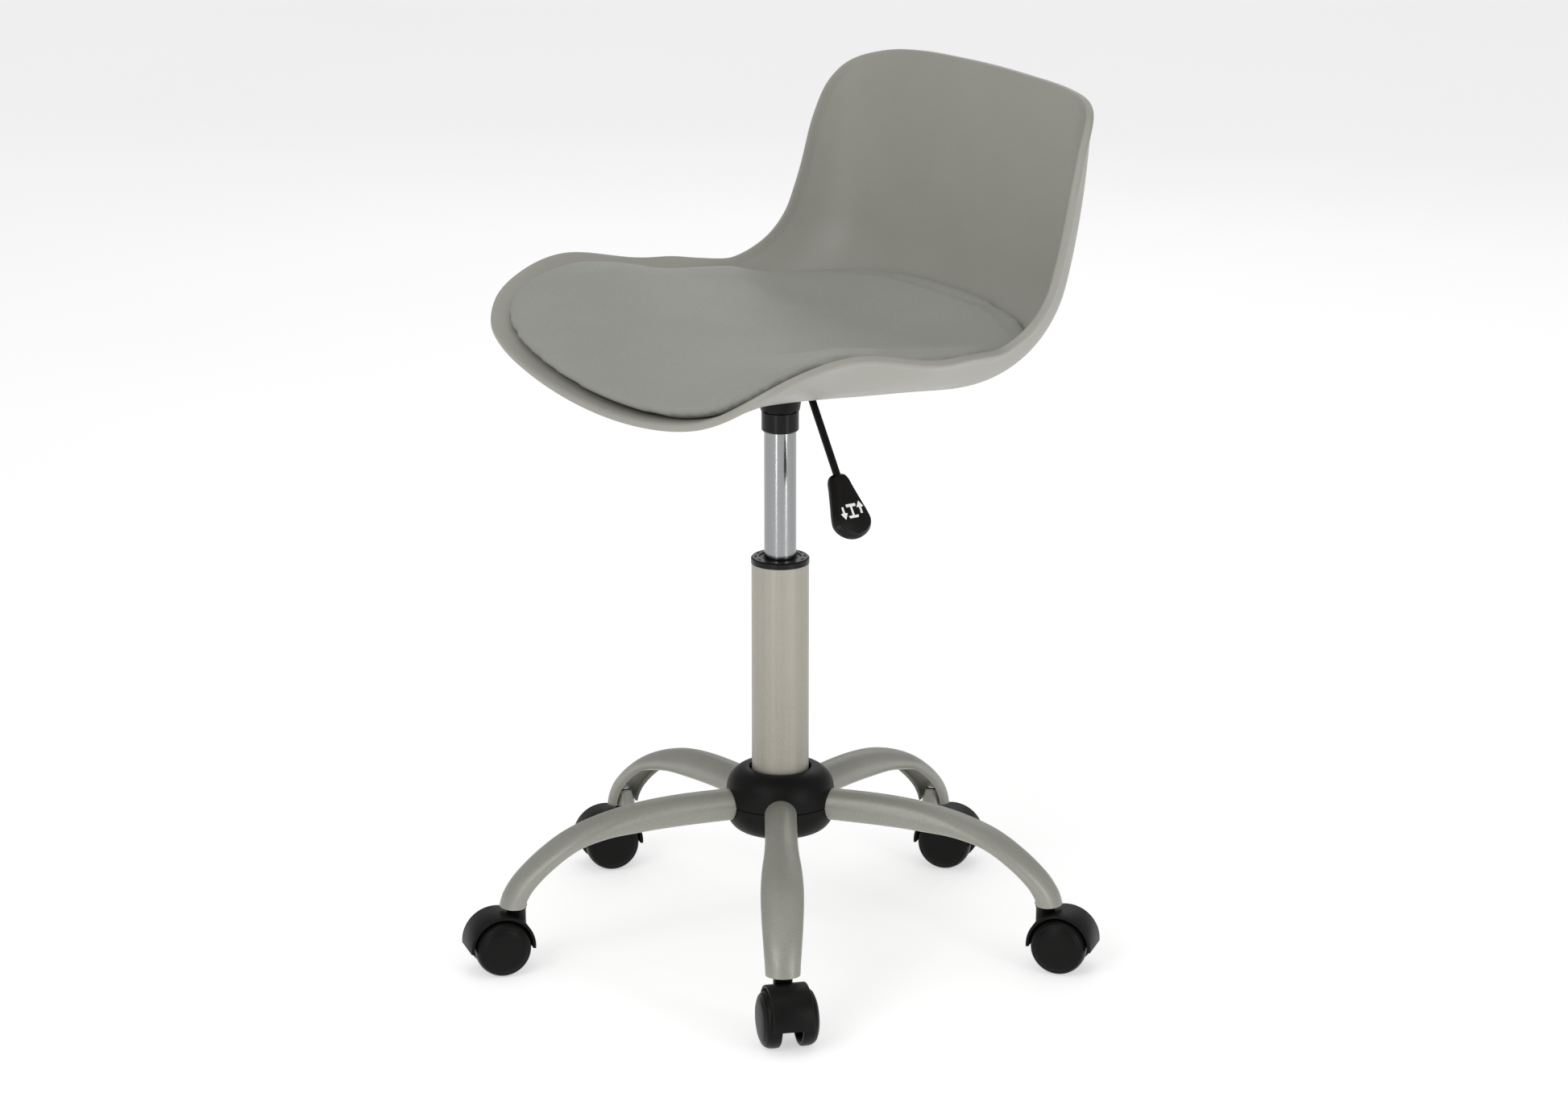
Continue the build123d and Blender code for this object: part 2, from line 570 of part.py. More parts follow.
def build_lever():
    """Bent release lever with a paddle on its end, all in the plane Y = 0."""
    down = (cos(LEVER_SLOPE), 0, -sin(LEVER_SLOPE))
    reach = 86.0
    bend = (LEVER_BEND_X, 0, LEVER_Z)
    tip = (bend[0] + reach * down[0], 0, bend[2] + reach * down[2])
    with BuildPart() as rod:
        with BuildLine():
            FilletPolyline((-3.0, 0, LEVER_Z), bend, tip, radius=9)
        with BuildSketch(Plane(origin=(-3.0, 0, LEVER_Z), z_dir=(1, 0, 0))):
            Circle(LEVER_ROD_R)
        sweep()
        with Locations((LEVER_PIVOT_X, 0, LEVER_Z)):
            Cylinder(2.0 + RUNNING, 20, rotation=(90, 0, 0), mode=Mode.SUBTRACT)
    save(rod, "lever_rod")

    # Paddle: broad face up and outwards, narrow at the rod and wide at the tip
    start = 76.0
    origin = (bend[0] + start * down[0], 0, bend[2] + start * down[2])
    face = Plane(origin=origin, x_dir=down, z_dir=(sin(LEVER_SLOPE), 0, cos(LEVER_SLOPE)))
    with BuildPart() as paddle:
        with BuildSketch(face.offset(-5.0)):
            with BuildLine():
                Polyline((0, -6), (0, 6), (6, 9.5), (44, 16.5))
                ThreePointArc((44, 16.5), (58, 0), (44, -16.5))
                Polyline((44, -16.5), (6, -9.5), (0, -6))
            make_face()
        extrude(amount=10)
        fillet(paddle.faces().sort_by(Axis(origin, tuple(face.z_dir)))[-1].edges(), 1.5)
        fillet(paddle.faces().sort_by(Axis(origin, tuple(face.z_dir)))[0].edges(), 1.5)
    with BuildPart() as handle:
        add(paddle.part)
        with BuildSketch(Plane(origin=origin, z_dir=down).offset(-1)):
            Circle(LEVER_ROD_R + 0.02)
        extrude(amount=reach - start + 1.05, mode=Mode.SUBTRACT)
    save(handle, "lever_paddle")


# ---- seat shell ---------------------------------------------------------------------------------

def middle_line(s):
    """Inside of the shell in its middle plane: (y, z, slope angle) at distance s from the lip."""
    floor = BEND_Y - LIP_Y
    arc = BEND_R * BEND_ANGLE
    if s < floor:
        rest = 1 - s / floor
        return LIP_Y + s, FLOOR_Z + LIP_RISE * rest ** 2, -2 * LIP_RISE * rest / floor
    if s < floor + arc:
        angle = (s - floor) / BEND_R
        return BEND_Y + BEND_R * sin(angle), FLOOR_Z + BEND_R * (1 - cos(angle)), angle
    up = s - floor - arc
    mean = BEND_ANGLE + BACK_CURL * up / 2
    y = BEND_Y + BEND_R * sin(BEND_ANGLE) + up * cos(mean)
    z = FLOOR_Z + BEND_R * (1 - cos(BEND_ANGLE)) + up * sin(mean)
    return y, z, BEND_ANGLE + BACK_CURL * up


def seat_point(s, x, lift=0.0):
    """Point on the inside of the shell, or lift above it along the local middle-plane normal."""
    y, z, angle = middle_line(s)
    across = x / 200
    flat = along(s, FLATNESS, STATIONS)
    rise = along(s, RISE, STATIONS) * ((1 - flat) * across ** 2 + flat * across ** 6) + lift
    return Vector(x, y - rise * sin(angle), z + rise * cos(angle))


def seat_layer(low, high, stations, half_widths, crown=0.0):
    """Curved slab over part of the seat, between two lifts above the shell's inside."""
    steps = 24
    across = (-1, -0.8, -0.5, 0, 0.5, 0.8, 1)
    sections = []
    for i in range(steps + 1):
        s = stations[0] + (stations[-1] - stations[0]) * i / steps
        half = along(s, half_widths, stations)
        swell = crown * (1 - (2 * i / steps - 1) ** 4)
        upper = [seat_point(s, t * half, high + swell * (1 - t ** 4)) for t in across]
        lower = [seat_point(s, t * half, low) for t in across]
        sections.append(Face(Wire([
            Spline(*upper),
            Line(upper[-1], lower[-1]),
            Spline(*reversed(lower)),
            Line(lower[0], upper[0]),
        ])))
    with BuildPart() as layer:
        loft(sections)
    return layer.part


def corner_tool(plane, outline, depth):
    """Prism that trims both corners of a slab back to a curve drawn for the +X side."""
    margin = 25
    start = outline[0]
    end = outline[-1]
    outward = margin if start[1] > end[1] else -margin
    with BuildPart() as tool:
        with BuildSketch(plane):
            with BuildLine():
                Spline(*outline)
                Polyline(
                    end, (end[0] + margin, end[1]), (end[0] + margin, start[1] + outward),
                    (start[0], start[1] + outward), start,
                )
            make_face()
            mirror(about=Plane.YZ)
        extrude(amount=depth)
    return tool.part


def build_shell():
    roof = PLATEAU_Z - SHELL_WALL
    floor_plane = Plane.XY.offset(FLOOR_Z - 10)
    back_plane = Plane((0, 240, 0), x_dir=(1, 0, 0), z_dir=(0, -1, 0))
    under = FLOOR_Z - SHELL_WALL + 0.3
    reach = PLATEAU_R + 10
    layer = seat_layer(-SHELL_WALL, 0, RIM_STATIONS, RIM_HALF_WIDTH)
    front_trim = corner_tool(floor_plane, FRONT_CORNER, 90)
    top_trim = corner_tool(back_plane, TOP_CORNER, 90)
    # Raised pan in the middle: a short wall and a roof, kept to what stands above the underside
    with BuildPart() as pan:
        with Locations((0, 0, under - 1)):
            Cylinder(
                PLATEAU_R + 2.5, PLATEAU_Z - under + 1,
                align=(Align.CENTER, Align.CENTER, Align.MIN),
            )
            Cylinder(
                PLATEAU_R - 1.5, roof - under + 1,
                align=(Align.CENTER, Align.CENTER, Align.MIN), mode=Mode.SUBTRACT,
            )
        fillet(pan.edges().group_by(Axis.Z)[-1], 2.5)
        with BuildSketch(Plane.XZ.offset(-reach)):
            with BuildLine():
                ThreePointArc((-reach, under + PAN_DISH), (0, under), (reach, under + PAN_DISH))
                Polyline((reach, under + PAN_DISH), (reach, under - 20), (-reach, under - 20),
                         (-reach, under + PAN_DISH))
            make_face()
        extrude(amount=2 * reach, mode=Mode.SUBTRACT)
    with BuildPart() as shell:
        add(layer)
        add(front_trim, mode=Mode.SUBTRACT)
        add(top_trim, mode=Mode.SUBTRACT)
        with Locations((0, 0, FLOOR_Z)):
            Cylinder(PLATEAU_R, 60, mode=Mode.SUBTRACT)
        add(pan.part)
        with PolarLocations(BOLT_CIRCLE_R, BOLTS, start_angle=45):
            with Locations((0, 0, PLATEAU_Z)):
                Cylinder(4.05, 20, mode=Mode.SUBTRACT)
    save(shell, "seat_shell")


# ---- cushion ------------------------------------------------------------------------------------

def trimmed_slab(low, high, crown, inset, well):
    """Slab of the cushion's plan shape, inset all round, without the well that clears the pan."""
    stations = (PAD_STATIONS[0] + inset, *PAD_STATIONS[1:-1], PAD_STATIONS[-1] - inset)
    slab = seat_layer(low, high, stations, [width - inset for width in PAD_HALF_WIDTH], crown)
    floor_plane = Plane.XY.offset(FLOOR_Z - 10)
    front = corner_tool(floor_plane, [(x - inset, y + inset) for x, y in PAD_FRONT_CORNER], 120)
    rear = corner_tool(floor_plane, [(x - inset, y - inset) for x, y in PAD_REAR_CORNER], 120)
    with BuildPart() as piece:
        add(slab)
        add(front, mode=Mode.SUBTRACT)
        add(rear, mode=Mode.SUBTRACT)
        add(well, mode=Mode.SUBTRACT)
    return piece


def build_cushion():
    board_lift = 1.0
    foam_lift = board_lift + BOARD_THICKNESS + 0.2
    with BuildPart() as board_well:
        with Locations((0, 0, FLOOR_Z)):
            Cylinder(PLATEAU_R + 6, 80)
    board = trimmed_slab(board_lift, board_lift + BOARD_THICKNESS, 0, 14, board_well.part)
    save(board, "pad_board")

    # the foam covers the pan, whose roof it clears by 2.4 mm
    with BuildPart() as foam_well:
        with Locations((0, 0, PLATEAU_Z + 2.4)):
            Cylinder(PLATEAU_R + 5, 80, align=(Align.CENTER, Align.CENTER, Align.MAX))
    pad = trimmed_slab(foam_lift, foam_lift + PAD_EDGE, PAD_CROWN, 0, foam_well.part)
    save(pad, "seat_pad")


build_shell()
build_cushion()
build_legs()
build_hub()
build_stems()
build_casters()
build_column()
build_gas_spring()
build_mechanism()
build_lever()
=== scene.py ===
import math
import bmesh
import bpy
from mathutils import Matrix, Vector


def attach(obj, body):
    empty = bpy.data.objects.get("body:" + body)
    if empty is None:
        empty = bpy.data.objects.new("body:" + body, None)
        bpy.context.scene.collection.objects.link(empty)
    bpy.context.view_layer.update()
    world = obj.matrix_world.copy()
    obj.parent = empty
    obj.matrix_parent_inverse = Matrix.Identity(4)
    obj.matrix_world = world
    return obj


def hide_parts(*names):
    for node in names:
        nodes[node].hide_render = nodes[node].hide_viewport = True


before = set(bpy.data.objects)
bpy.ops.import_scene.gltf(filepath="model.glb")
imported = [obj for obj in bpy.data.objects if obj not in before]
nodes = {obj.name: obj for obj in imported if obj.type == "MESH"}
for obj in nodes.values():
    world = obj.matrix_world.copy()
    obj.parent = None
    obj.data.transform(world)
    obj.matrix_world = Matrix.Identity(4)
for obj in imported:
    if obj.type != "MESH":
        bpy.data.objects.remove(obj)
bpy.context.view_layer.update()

# Adjustable swivel stool. Lengths in the shape functions are millimetres in the row frame, and
# MM turns them into metres as a mesh is made.
MM = 0.001


# ---- materials ----------------------------------------------------------------------------------

def node_tree(name):
    """New material with its node tree, its shader and object coordinates."""
    material = bpy.data.materials.new(name)
    material.use_nodes = True
    tree = material.node_tree
    shader = tree.nodes["Principled BSDF"]
    coords = tree.nodes.new("ShaderNodeTexCoord")
    return material, tree, shader, coords.outputs["Object"]


def noise_texture(tree, coords, size_mm, detail=2.0, rough=0.5):
    noise = tree.nodes.new("ShaderNodeTexNoise")
    noise.inputs["Scale"].default_value = 1.0 / (size_mm * MM)
    noise.inputs["Detail"].default_value = detail
    noise.inputs["Roughness"].default_value = rough
    tree.links.new(coords, noise.inputs["Vector"])
    return noise.outputs["Fac"]


def ramp(tree, value, stops):
    """Colour ramp from (position, colour) stops; a plain number is a grey."""
    node = tree.nodes.new("ShaderNodeValToRGB")
    elements = node.color_ramp.elements
    while len(elements) < len(stops):
        elements.new(0.5)
    for element, (position, colour) in zip(elements, stops):
        if isinstance(colour, (int, float)):
            colour = (colour, colour, colour)
        element.position = position
        element.color = (*colour[:3], 1.0)
    tree.links.new(value, node.inputs["Fac"])
    return node.outputs["Color"]


def mixed(tree, factor, first, second):
    """Mix of two colour sockets by a socket or a number."""
    node = tree.nodes.new("ShaderNodeMix")
    node.data_type = "RGBA"
    if isinstance(factor, (int, float)):
        node.inputs[0].default_value = factor
    else:
        tree.links.new(factor, node.inputs[0])
    tree.links.new(first, node.inputs[6])
    tree.links.new(second, node.inputs[7])
    return node.outputs[2]


def shade(colour, factor):
    """Lighter or darker copy of a colour."""
    return tuple(min(1.0, channel * factor) for channel in colour)


def bump(tree, shader, height, strength, distance_mm, after=None):
    """Surface relief from a grey socket, added to an earlier one when after is given."""
    node = tree.nodes.new("ShaderNodeBump")
    node.inputs["Strength"].default_value = strength
    node.inputs["Distance"].default_value = distance_mm * MM
    tree.links.new(height, node.inputs["Height"])
    if after is not None:
        tree.links.new(after, node.inputs["Normal"])
    tree.links.new(node.outputs["Normal"], shader.inputs["Normal"])
    return node.outputs["Normal"]


def painted_edge_highlight(tree, colour_socket, highlight_colour, low, high):
    """Painted highlight: lightens the sharpest convex edges, where light catches them."""
    geometry = tree.nodes.new("ShaderNodeNewGeometry")
    mask = ramp(tree, geometry.outputs["Pointiness"], ((low, 0.0), (high, 1.0)))
    paint = tree.nodes.new("ShaderNodeRGB")
    paint.outputs[0].default_value = (*highlight_colour, 1.0)
    return mixed(tree, mask, colour_socket, paint.outputs[0])


def moulded_plastic(name, colour, rough, grain_mm, grain_depth, variation=0.06, gloss_level=0.5):
    """Moulded plastic with a fine spark-eroded grain and slight blotches of gloss."""
    material, tree, shader, coords = node_tree(name)
    broad = noise_texture(tree, coords, 45, 3.0)
    grain = noise_texture(tree, coords, grain_mm, 4.0, 0.6)
    base = ramp(tree, broad, ((0.3, shade(colour, 1 - variation)), (0.7, shade(colour, 1 + variation))))
    fine = ramp(tree, grain, ((0.3, shade(colour, 1 - variation)), (0.7, shade(colour, 1 + variation))))
    tint = mixed(tree, 0.5, base, fine)
    # painted highlight: the sharpest convex edges of the plastic are lightened
    tree.links.new(painted_edge_highlight(tree, tint, shade(colour, 1.35), 0.53, 0.62), shader.inputs["Base Color"])
    gloss = ramp(tree, broad, ((0.25, rough - 0.05), (0.75, rough + 0.06)))
    tree.links.new(gloss, shader.inputs["Roughness"])
    shader.inputs["Specular IOR Level"].default_value = gloss_level
    bump(tree, shader, grain, 0.5, grain_depth)
    return material


def leatherette(name, colour):
    """Coated fabric with small rounded pebbles, painted shade in the crevices between them, finer wrinkles
    and a soft sheen.
    """
    material, tree, shader, coords = node_tree(name)
    cells = tree.nodes.new("ShaderNodeTexVoronoi")
    cells.feature = "SMOOTH_F1"
    cells.inputs["Scale"].default_value = 1.0 / (1.15 * MM)
    cells.inputs["Smoothness"].default_value = 0.6
    tree.links.new(coords, cells.inputs["Vector"])
    wrinkle = noise_texture(tree, coords, 2.6, 4.0, 0.6)
    broad = noise_texture(tree, coords, 60, 3.0)
    pebble = ramp(tree, cells.outputs["Distance"], ((0.1, 1.0), (0.75, 0.0)))
    # painted shade: darker in the crevices between the pebbles, lighter on their tops
    painted_pebble_shade = ramp(tree, cells.outputs["Distance"], ((0.15, shade(colour, 1.05)), (0.8, shade(colour, 0.86))))
    by_area = ramp(tree, broad, ((0.3, shade(colour, 0.95)), (0.7, shade(colour, 1.05))))
    tree.links.new(mixed(tree, 0.5, painted_pebble_shade, by_area), shader.inputs["Base Color"])
    gloss = ramp(tree, wrinkle, ((0.3, 0.50), (0.7, 0.62)))
    tree.links.new(gloss, shader.inputs["Roughness"])
    shader.inputs["Sheen Weight"].default_value = 0.12
    shader.inputs["Sheen Roughness"].default_value = 0.5
    shader.inputs["Specular IOR Level"].default_value = 0.4
    first = bump(tree, shader, pebble, 0.6, 0.22)
    bump(tree, shader, wrinkle, 0.4, 0.2, first)
    return material


def speckled_paint(name, colour):
    """Powder coat with a fine orange peel, bright flecks and dark pinpoints."""
    material, tree, shader, coords = node_tree(name)
    flecks = noise_texture(tree, coords, 1.3, 2.0, 0.7)
    broad = noise_texture(tree, coords, 30, 2.0)
    peel = noise_texture(tree, coords, 1.8, 2.0)
    speckle = ramp(tree, flecks, (
        (0.30, shade(colour, 0.74)), (0.42, shade(colour, 0.96)),
        (0.60, shade(colour, 1.03)), (0.74, shade(colour, 1.45)),
    ))
    area = ramp(tree, broad, ((0.3, shade(colour, 0.96)), (0.7, shade(colour, 1.05))))
    tint = mixed(tree, 0.45, area, speckle)
    # painted highlight: the sharpest convex edges of the paint are lightened
    tree.links.new(painted_edge_highlight(tree, tint, shade(colour, 1.25), 0.54, 0.64), shader.inputs["Base Color"])
    tree.links.new(ramp(tree, flecks, ((0.35, 0.46), (0.7, 0.34))), shader.inputs["Roughness"])
    shader.inputs["Metallic"].default_value = 0.25
    bump(tree, shader, peel, 0.22, 0.12)
    return material


def brushed_metal(name, colour, rough, turned=True, streak_mm=0.5):
    """Metal with fine drawn or turned lines and faint smudges."""
    material, tree, shader, coords = node_tree(name)
    stretch = tree.nodes.new("ShaderNodeMapping")
    stretch.inputs["Scale"].default_value = (0.04, 0.04, 1.0) if turned else (1.0, 1.0, 0.03)
    tree.links.new(coords, stretch.inputs["Vector"])
    lines = noise_texture(tree, stretch.outputs["Vector"], streak_mm, 3.0, 0.6)
    smudge = noise_texture(tree, coords, 14, 3.0)
    tone = ramp(tree, lines, ((0.3, shade(colour, 0.95)), (0.7, shade(colour, 1.04))))
    tree.links.new(tone, shader.inputs["Base Color"])
    gloss_lines = ramp(tree, lines, ((0.3, rough - 0.05), (0.7, rough + 0.06)))
    gloss_smudge = ramp(tree, smudge, ((0.3, rough - 0.02), (0.7, rough + 0.03)))
    tree.links.new(mixed(tree, 0.5, gloss_lines, gloss_smudge), shader.inputs["Roughness"])
    shader.inputs["Metallic"].default_value = 1.0
    bump(tree, shader, lines, 0.05, 0.03)
    return material


def soft_rubber(name, colour):
    """Dull rubber with a little dust."""
    material, tree, shader, coords = node_tree(name)
    dust = noise_texture(tree, coords, 6, 4.0, 0.65)
    tint = ramp(tree, dust, ((0.35, shade(colour, 0.85)), (0.72, shade(colour, 1.6))))
    tree.links.new(tint, shader.inputs["Base Color"])
    tree.links.new(ramp(tree, dust, ((0.3, 0.55), (0.7, 0.75))), shader.inputs["Roughness"])
    bump(tree, shader, noise_texture(tree, coords, 0.7, 3.0), 0.25, 0.08)
    return material


def plywood(name):
    """Pale veneer with a straight figure."""
    material, tree, shader, coords = node_tree(name)
    stretch = tree.nodes.new("ShaderNodeMapping")
    stretch.inputs["Scale"].default_value = (1.0, 0.08, 1.0)
    tree.links.new(coords, stretch.inputs["Vector"])
    figure = noise_texture(tree, stretch.outputs["Vector"], 6, 5.0, 0.6)
    tint = ramp(tree, figure, ((0.3, (0.42, 0.27, 0.14)), (0.7, (0.58, 0.41, 0.24))))
    tree.links.new(tint, shader.inputs["Base Color"])
    tree.links.new(ramp(tree, figure, ((0.3, 0.6), (0.7, 0.75))), shader.inputs["Roughness"])
    bump(tree, shader, figure, 0.2, 0.2)
    return material


SHELL_COLOUR = (0.315, 0.308, 0.272)
PAD_COLOUR = (0.300, 0.306, 0.272)
LEG_COLOUR = (0.300, 0.300, 0.262)
COLUMN_COLOUR = (0.335, 0.318, 0.272)
BLACK = (0.0052, 0.0049, 0.0046)
STEEL = (0.56, 0.56, 0.57)

shell_mat = moulded_plastic("shell_plastic", SHELL_COLOUR, 0.42, 1.3, 0.22, 0.05)
pad_mat = leatherette("seat_leatherette", PAD_COLOUR)
leg_mat = speckled_paint("leg_paint", LEG_COLOUR)
column_mat = speckled_paint("column_paint", COLUMN_COLOUR)
black_mat = moulded_plastic("black_plastic", BLACK, 0.42, 0.9, 0.10, 0.15, 0.13)
gloss_black_mat = moulded_plastic("gloss_black_plastic", BLACK, 0.28, 0.9, 0.03, 0.10, 0.20)
tread_mat = moulded_plastic("wheel_plastic", BLACK, 0.36, 1.6, 0.05, 0.12, 0.12)
rubber_mat = soft_rubber("nitrile_rubber", (0.02, 0.02, 0.02))
tube_mat = brushed_metal("satin_chrome", (0.31, 0.313, 0.317), 0.17)
steel_mat = brushed_metal("bright_steel", STEEL, 0.34)
dark_steel_mat = brushed_metal("blackened_steel", (0.05, 0.05, 0.052), 0.42, turned=False)
black_rod_mat = moulded_plastic("black_rod_paint", BLACK, 0.34, 1.4, 0.04, 0.12, 0.15)
board_mat = plywood("plywood")
print_mat = moulded_plastic("white_print", (0.80, 0.80, 0.79), 0.55, 0.5, 0.02, 0.03)

NODE_MATERIALS = {
    "outer_tube": column_mat, "pressure_tube": tube_mat, "stem_sockets": leg_mat,
    "guide_bush": gloss_black_mat, "top_collar": gloss_black_mat,
    "taper_socket": black_rod_mat, "mechanism_bracket": black_rod_mat,
    "seat_plate": black_rod_mat, "lever_rod": black_rod_mat, "stem_snap_rings": black_mat,
    "piston_ring": black_mat, "rod_guide": black_mat, "rod_seal": rubber_mat, "bump_stop": rubber_mat,
    "pad_board": board_mat, "seat_bolts": dark_steel_mat, "bolt_washers": dark_steel_mat,
}
for node_name, node_object in nodes.items():
    material = NODE_MATERIALS.get(node_name, steel_mat)
    if not node_object.material_slots:
        node_object.data.materials.append(material)
    for material_slot in node_object.material_slots:
        material_slot.material = material


# ---- mesh helpers -------------------------------------------------------------------------------

def make_mesh(name, points, faces, material, smooth_angle=40, levels=0):
    """Mesh object from millimetre points, smooth shaded, split at edges sharper than smooth_angle."""
    mesh = bpy.data.meshes.new(name)
    mesh.from_pydata([tuple(Vector(point) * MM) for point in points], [], faces)
    mesh.validate()
    piece = bpy.data.objects.new(name, mesh)
    bpy.context.scene.collection.objects.link(piece)
    mesh.materials.append(material)
    tidy_normals(piece)
    mesh.shade_smooth()
    mesh.set_sharp_from_angle(angle=math.radians(smooth_angle))
    if levels:
        subdivide(piece, levels)
    return piece


def tidy_normals(piece):
    """Merges points that coincide and turns every face outwards."""
    work = bmesh.new()
    work.from_mesh(piece.data)
    bmesh.ops.remove_doubles(work, verts=work.verts, dist=1e-6)
    bmesh.ops.recalc_face_normals(work, faces=work.faces)
    work.to_mesh(piece.data)
    work.free()


def subdivide(piece, levels):
    modifier = piece.modifiers.new("subdivision", "SUBSURF")
    modifier.levels = levels
    modifier.render_levels = levels


def bands(rows, closed_rows=True, cap_start=False, cap_end=False):
    """Points and quads of a net of rows; each row is a loop when closed_rows."""
    count = len(rows[0])
    points = [point for row in rows for point in row]
    faces = []
    last = count if closed_rows else count - 1
    for i in range(len(rows) - 1):
        for j in range(last):
            k = (j + 1) % count
            faces.append((i * count + j, i * count + k, (i + 1) * count + k, (i + 1) * count + j))
    # a cap is a strip of quads across its row, which subdivides cleanly
    for start, wanted in ((0, cap_start), ((len(rows) - 1) * count, cap_end)):
        for j in range(count // 2 if wanted else 0):
            near, far = start + j, start + (count - j) % count
            if near == far:
                faces.append((near, near + 1, far + count - 1))
            elif near + 1 == far - 1:
                faces.append((near, near + 1, far))
            else:
                faces.append((near, near + 1, far - 1, far))
    return points, faces


def joined(*nets):
    """One list of points and faces from several."""
    points = []
    faces = []
    for more_points, more_faces in nets:
        shift = len(points)
        points.extend(more_points)
        faces.extend(tuple(index + shift for index in face) for face in more_faces)
    return points, faces


def placed(net, matrix):
    """Net moved by a matrix."""
    points, faces = net
    return [matrix @ Vector(point) for point in points], faces


def lathe(profile, steps=64):
    """Closed profile of (radius, height) points turned about Z."""
    rows = []
    for radius, height in profile:
        rows.append([
            (radius * math.cos(2 * math.pi * j / steps), radius * math.sin(2 * math.pi * j / steps), height)
            for j in range(steps)
        ])
    return bands(rows)


def smooth_value(s, values, stations):
    """Catmull-Rom value at s, from values given at stations."""
    last = len(stations) - 1
    k = 0
    while k < last - 1 and s > stations[k + 1]:
        k += 1
    low = max(k - 1, 0)
    high = min(k + 2, last)
    span = stations[k + 1] - stations[k]
    t = (s - stations[k]) / span
    slope_a = (values[k + 1] - values[low]) / (stations[k + 1] - stations[low]) * span
    slope_b = (values[high] - values[k]) / (stations[high] - stations[k]) * span
    if s > stations[-1]:
        return values[-1] + slope_b * (t - 1)
    return (
        values[k] * (1 + 2 * t) * (1 - t) ** 2 + slope_a * t * (1 - t) ** 2
        + values[k + 1] * t * t * (3 - 2 * t) + slope_b * t * t * (t - 1)
    )


def smooth_loop(corners, count):
    """Evenly spaced points on a smooth closed curve through the given plane points."""
    fine = []
    total = len(corners)
    for k in range(total):
        a, b, c, d = (Vector(corners[(k + shift) % total]) for shift in (-1, 0, 1, 2))
        first = ((b - a).length ** 0.5, (c - b).length ** 0.5, (d - c).length ** 0.5)
        tangent_b = ((b - a) / first[0] - (c - a) / (first[0] + first[1]) + (c - b) / first[1]) * first[1]
        tangent_c = ((c - b) / first[1] - (d - b) / (first[1] + first[2]) + (d - c) / first[2]) * first[1]
        for step in range(24):
            t = step / 24
            fine.append(
                b * ((1 + 2 * t) * (1 - t) ** 2) + tangent_b * (t * (1 - t) ** 2)
                + c * (t * t * (3 - 2 * t)) + tangent_c * (t * t * (t - 1))
            )
    lengths = [0.0]
    for k in range(len(fine)):
        lengths.append(lengths[-1] + (fine[(k + 1) % len(fine)] - fine[k]).length)
    result = []
    k = 0
    for step in range(count):
        want = lengths[-1] * step / count
        while lengths[k + 1] < want:
            k += 1
        t = (want - lengths[k]) / (lengths[k + 1] - lengths[k])
        result.append(fine[k].lerp(fine[(k + 1) % len(fine)], t))
    return result


# ---- seat surface: the inside of the shell, the same surface that the CAD uses -------------------

FLOOR_Z = 508.0
LIP_Y = -182.0
LIP_RISE = 2.0
BEND_Y = 76.0
BEND_R = 123.0
BEND_ANGLE = math.radians(74.4)
BACK_CURL = 0.00145
STATIONS = (0, 100, 200, 300, 400, 550)
RISE = (42, 60, 47, 57, 63, 64)
FLATNESS = (0.25, 0.0, 0.1, 0.7, 0.97, 1.0)
AXIS_S = -LIP_Y              # distance from the lip to the column axis, along the middle line


def middle_line(s):
    """Depth, height and slope of the seat's middle line, at a distance s from the front lip."""
    floor = BEND_Y - LIP_Y
    arc = BEND_R * BEND_ANGLE
    if s < floor:
        rest = 1 - s / floor
        return LIP_Y + s, FLOOR_Z + LIP_RISE * rest ** 2, -2 * LIP_RISE * rest / floor
    if s < floor + arc:
        angle = (s - floor) / BEND_R
        return BEND_Y + BEND_R * math.sin(angle), FLOOR_Z + BEND_R * (1 - math.cos(angle)), angle
    up = s - floor - arc
    mean = BEND_ANGLE + BACK_CURL * up / 2
    y = BEND_Y + BEND_R * math.sin(BEND_ANGLE) + up * math.cos(mean)
    z = FLOOR_Z + BEND_R * (1 - math.cos(BEND_ANGLE)) + up * math.sin(mean)
    return y, z, BEND_ANGLE + BACK_CURL * up


def seat_point(s, x):
    """Point of the seat surface at s along the middle line and x to the side."""
    y, z, angle = middle_line(s)
    across = x / 200
    flat = smooth_value(s, FLATNESS, STATIONS)
    rise = smooth_value(s, RISE, STATIONS) * ((1 - flat) * across ** 2 + flat * across ** 6)
    return Vector((x, y - rise * math.sin(angle), z + rise * math.cos(angle)))


def seat_frame(s, x):
    """Point and its two surface derivatives and inside normal."""
    step = 0.5
    point = seat_point(s, x)
    by_s = (seat_point(s + step, x) - seat_point(s - step, x)) / (2 * step)
    by_x = (seat_point(s, x + step) - seat_point(s, x - step)) / (2 * step)
    return point, by_s, by_x, by_x.cross(by_s).normalized()


def inward_line(loop, k):
    """Unit direction in the (s, x) plane that points into a closed loop at its point k."""
    ahead = loop[(k + 1) % len(loop)] - loop[k - 1]
    normal = Vector((-ahead.y, ahead.x)).normalized()
    centre = Vector((AXIS_S, 0))
    return normal if normal.dot(centre - loop[k]) > 0 else -normal


def edge_point(loop, k, inset):
    """(s, x) at a distance inset, measured on the seat surface, inside the loop's point k."""
    q = loop[k]
    direction = inward_line(loop, k)
    _, by_s, by_x, _ = seat_frame(q.x, q.y)
    stretch = (by_s * direction.x + by_x * direction.y).length
    return q + direction * (inset / stretch)


def half_to_loop(half):
    """Closed outline from the half with x from 0 to 0, mirrored."""
    mirrored = [(s, -x) for s, x in reversed(half) if x > 0]
    return list(half) + mirrored


